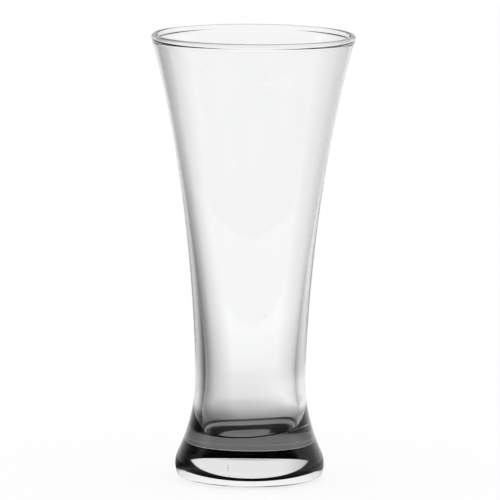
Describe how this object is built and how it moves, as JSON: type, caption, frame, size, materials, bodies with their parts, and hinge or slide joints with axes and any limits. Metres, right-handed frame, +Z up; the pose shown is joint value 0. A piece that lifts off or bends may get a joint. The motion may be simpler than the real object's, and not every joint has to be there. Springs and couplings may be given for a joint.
{
  "type": "beer glass",
  "caption": "Tall clear beer glass: a thin-walled bowl that flares from a narrow waist to a rounded lip, fused to a heavy solid foot with a rounded heel.",
  "frame": {"origin": "centre of the bearing ring under the foot, on the table", "axes": "+Z up along the axis of revolution, from the table to the rim; X and Y are free because the glass is round"},
  "size_m": [0.082, 0.082, 0.18],
  "materials": {
    "clear_glass": "clear, fire-polished soda-lime glass"
  },
  "bodies": {
    "root": {"foot": "clear_glass", "bowl": "clear_glass"}
  },
  "joints": []
}
